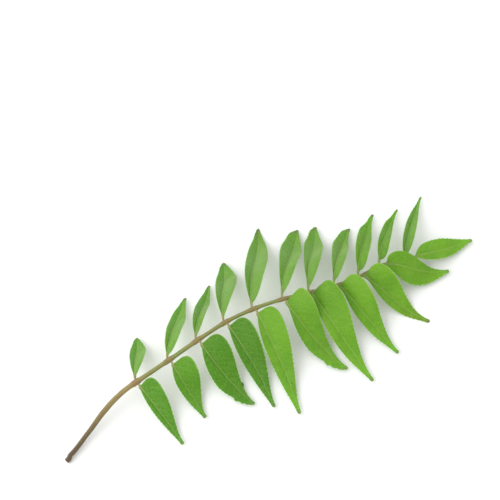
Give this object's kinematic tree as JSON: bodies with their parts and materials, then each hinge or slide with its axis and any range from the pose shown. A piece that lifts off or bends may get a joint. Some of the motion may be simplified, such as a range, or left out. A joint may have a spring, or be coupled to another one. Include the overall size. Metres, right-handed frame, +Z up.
{
  "type": "curry leaf sprig",
  "caption": "Cut curry leaf sprig lying on its side: a slender arching brown-green stalk with pointed, lopsided green leaflets down both sides and one at the end",
  "frame": {"origin": "Middle of the sprig's outline as it lies, on the surface it rests on", "axes": "+X runs along the stalk from its cut end to the end leaflet, +Z is up, -Y is the side of the broader leaflets that face the viewer"},
  "size_m": [0.1932, 0.0904, 0.0196],
  "materials": {
    "leaf_green": "satin waxy leaf, paler underneath, on a brown-green stalk"
  },
  "bodies": {
    "root": {"curry_leaf_sprig": "leaf_green"}
  },
  "joints": []
}
